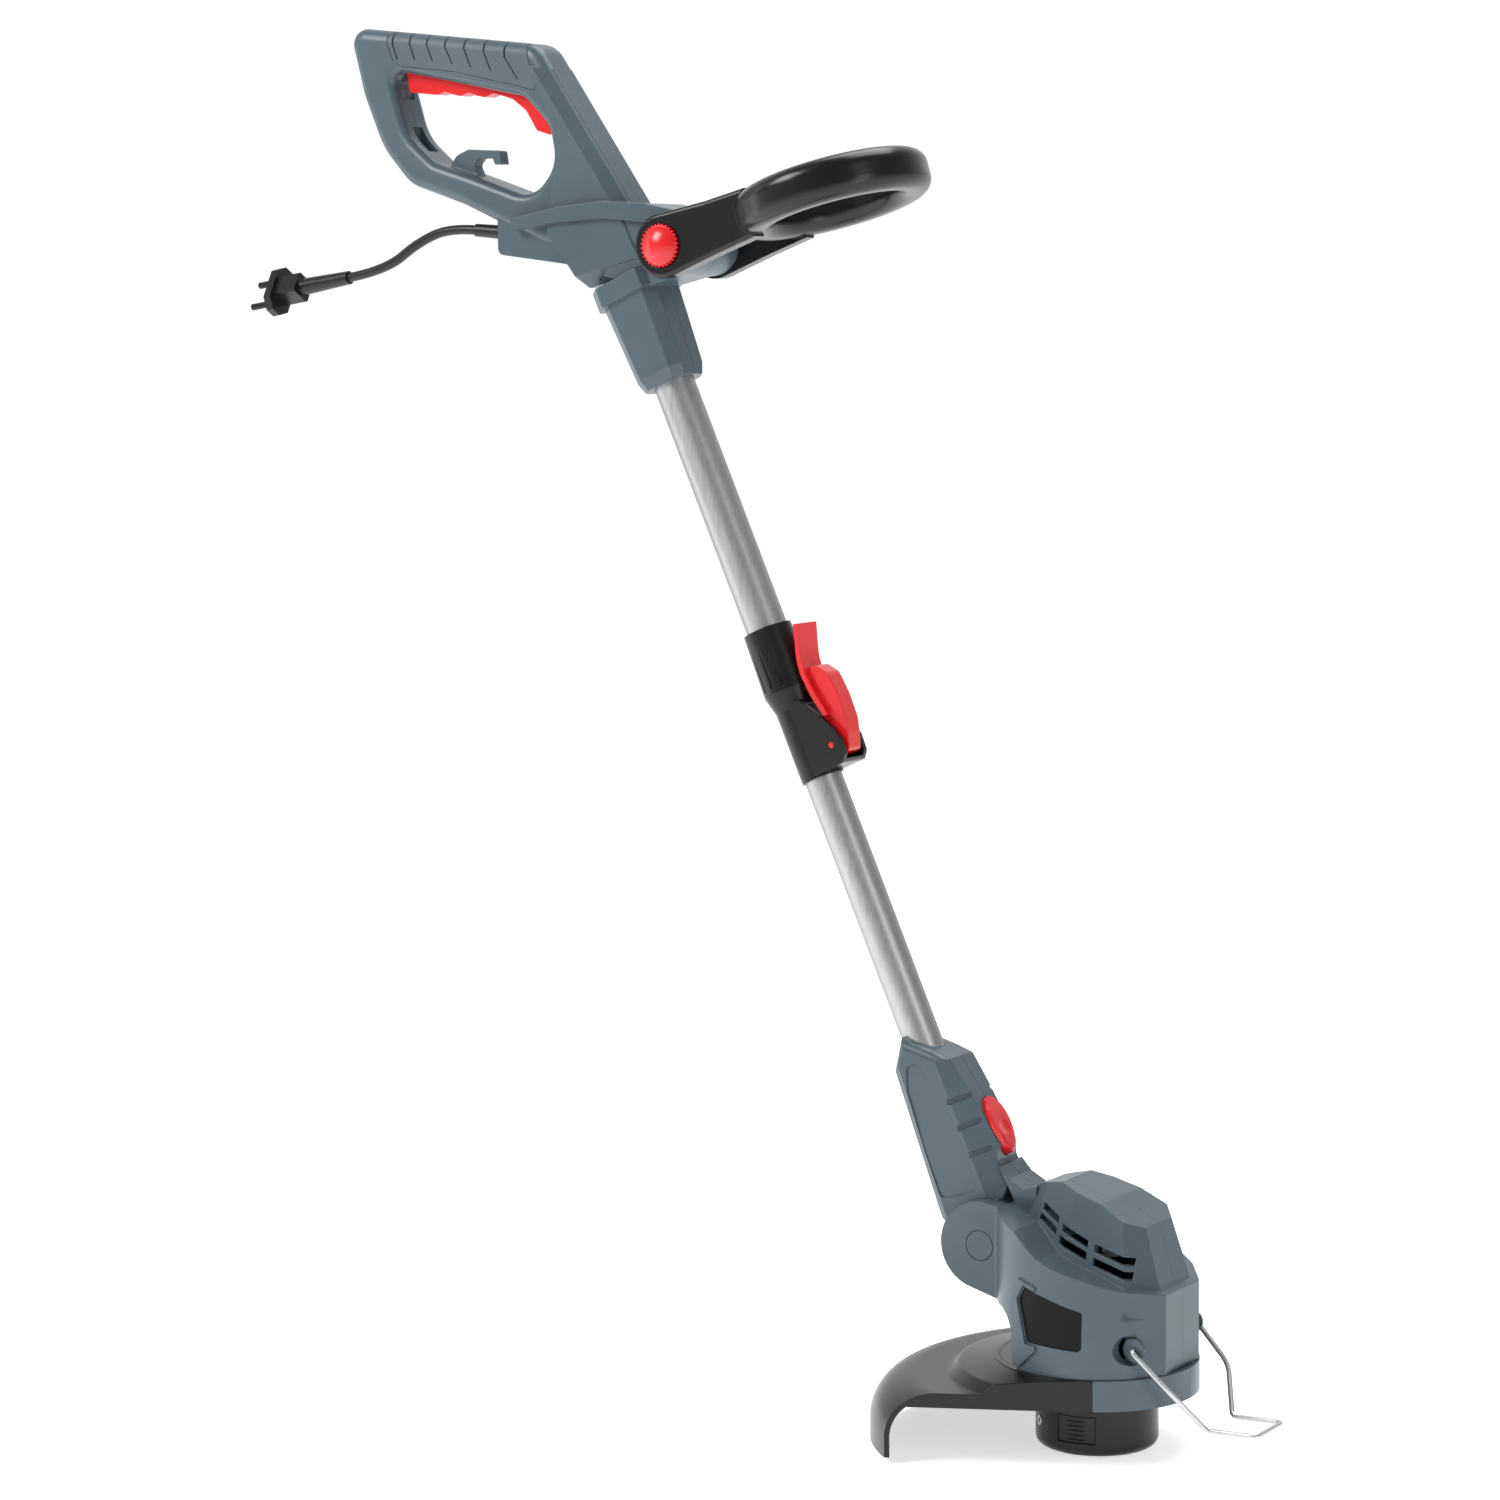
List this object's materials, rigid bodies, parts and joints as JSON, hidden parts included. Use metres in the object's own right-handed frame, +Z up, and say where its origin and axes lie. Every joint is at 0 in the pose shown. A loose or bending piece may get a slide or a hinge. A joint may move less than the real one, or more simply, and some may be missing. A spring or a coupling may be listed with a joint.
{
  "type": "string trimmer",
  "caption": "Corded electric string trimmer with a D-shaped rear handle, a hinged loop handle, a telescopic shaft, tilting motor head, a rear guard, a folding wire edge guide and a line spool.",
  "frame": {"origin": "centre of the spool's bottom face, on the motor's axis", "axes": "+X forward, away from the user and towards the edge guide; +Y to the user's left; +Z up along the motor's axis"},
  "size_m": [0.8112, 0.2294, 0.9352],
  "materials": {
    "grey_plastic": "fine spark texture on a moulded shell",
    "black_plastic": "semi-gloss moulded",
    "red_plastic": "smooth moulded",
    "grip_rubber": "matt soft moulding",
    "aluminium_tube": "satin drawn tube",
    "steel": "zinc plated",
    "nickel_pin": "nickel plated",
    "yellow_film": "dipped film capacitor",
    "ferrite": "sintered",
    "nylon_line": "drawn nylon"
  },
  "bodies": {
    "rear_handle": {"handle_right": "grey_plastic", "handle_left": "grey_plastic", "grip_pad": "grip_rubber", "handle_screws": "steel", "trigger_switch": "black_plastic", "suppression_capacitor": "yellow_film", "supply_wires": "grip_rubber", "cable_clamp": "black_plastic", "strain_relief": "grip_rubber", "mains_cord": "grip_rubber", "plug_body": "grip_rubber", "plug_pins": "nickel_pin", "coiled_lead": "grip_rubber", "upper_tube": "aluminium_tube", "lock_collar": "black_plastic"},
    "lock_lever": {"lock_lever": "red_plastic"},
    "trigger": {"trigger": "red_plastic"},
    "loop_handle": {"loop_handle": "black_plastic", "clamp_nut": "steel"},
    "lock_knob": {"lock_knob": "red_plastic", "clamp_bolt": "steel"},
    "lower_shaft": {"lower_tube": "aluminium_tube", "head_lead": "grip_rubber", "neck_right": "grey_plastic", "neck_left": "grey_plastic", "neck_screws": "steel", "tilt_pin": "steel", "button_spring": "steel"},
    "tilt_button": {"tilt_button": "red_plastic", "tilt_latch": "black_plastic"},
    "motor_head": {"head_right": "grey_plastic", "head_left": "grey_plastic", "head_screws": "steel", "badge_right": "black_plastic", "badge_left": "black_plastic", "rating_plate": "grey_plastic", "pivot_caps": "grey_plastic", "motor_can": "steel", "motor_brushes": "ferrite", "motor_magnet": "ferrite", "upper_bearing": "steel", "lower_bearing": "steel", "base_plate": "black_plastic", "head_skirt": "grey_plastic", "guard": "black_plastic", "guard_screws": "steel", "line_cutter": "steel", "wire_clips": "black_plastic"},
    "edge_guide": {"edge_guide_wire": "steel"},
    "spool_head": {"motor_shaft": "steel", "armature": "steel", "cooling_fan": "black_plastic", "spool_cup": "black_plastic", "spool_hub": "black_plastic", "line_reel": "black_plastic", "cutting_line": "nylon_line", "eyelets": "steel", "reel_spring": "steel"},
    "release_tab_near": {"release_tab_near": "black_plastic"},
    "release_tab_far": {"release_tab_far": "black_plastic"}
  },
  "joints": [
    {"name": "lock_lever_hinge", "type": "hinge", "parent": "rear_handle", "child": "lock_lever", "pos_m": [-0.19119, 0, 0.44837], "axis": [0, 1, 0], "range_deg": [0, 60]},
    {"name": "trigger_hinge", "type": "hinge", "parent": "rear_handle", "child": "trigger", "pos_m": [-0.536, 0, 0.904], "axis": [0, -1, 0], "range_deg": [0, 3], "stiffness_Nm_per_rad": 6, "springref_deg": -2.86},
    {"name": "loop_handle_hinge", "type": "hinge", "parent": "rear_handle", "child": "loop_handle", "pos_m": [-0.306, 0, 0.779], "axis": [0, 1, 0], "range_deg": [-60, 60]},
    {"name": "lock_knob_turn", "type": "hinge", "parent": "loop_handle", "child": "lock_knob", "pos_m": [-0.306, 0, 0.779], "axis": [0, -1, 0], "range_deg": [0, 720]},
    {"name": "shaft_slide", "type": "slide", "parent": "rear_handle", "child": "lower_shaft", "axis": [-0.4051, 0, 0.9143], "range_m": [-0.04, 0.175]},
    {"name": "tilt_button_press", "type": "slide", "parent": "lower_shaft", "child": "tilt_button", "axis": [-0.9143, 0, -0.4051], "range_m": [0, 0.0035], "stiffness_N_per_m": 800, "springref_m": -0.003},
    {"name": "head_tilt", "type": "hinge", "parent": "lower_shaft", "child": "motor_head", "pos_m": [-0.07, 0, 0.128], "axis": [0, 1, 0], "range_deg": [0, 35]},
    {"name": "edge_guide_fold", "type": "hinge", "parent": "motor_head", "child": "edge_guide", "pos_m": [0.048, 0, 0.077], "axis": [0, -1, 0], "range_deg": [0, 110]},
    {"name": "spool_spin", "type": "hinge", "parent": "motor_head", "child": "spool_head", "pos_m": [0, 0, 0], "axis": [0, 0, 1], "continuous": true},
    {"name": "release_tab_near_press", "type": "slide", "parent": "spool_head", "child": "release_tab_near", "axis": [-0.1219, 0.9925, 0], "range_m": [0, 0.002], "stiffness_N_per_m": 800, "springref_m": -0.003},
    {"name": "release_tab_far_press", "type": "slide", "parent": "spool_head", "child": "release_tab_far", "axis": [0.1219, -0.9925, 0], "range_m": [0, 0.002], "stiffness_N_per_m": 800, "springref_m": -0.003}
  ]
}
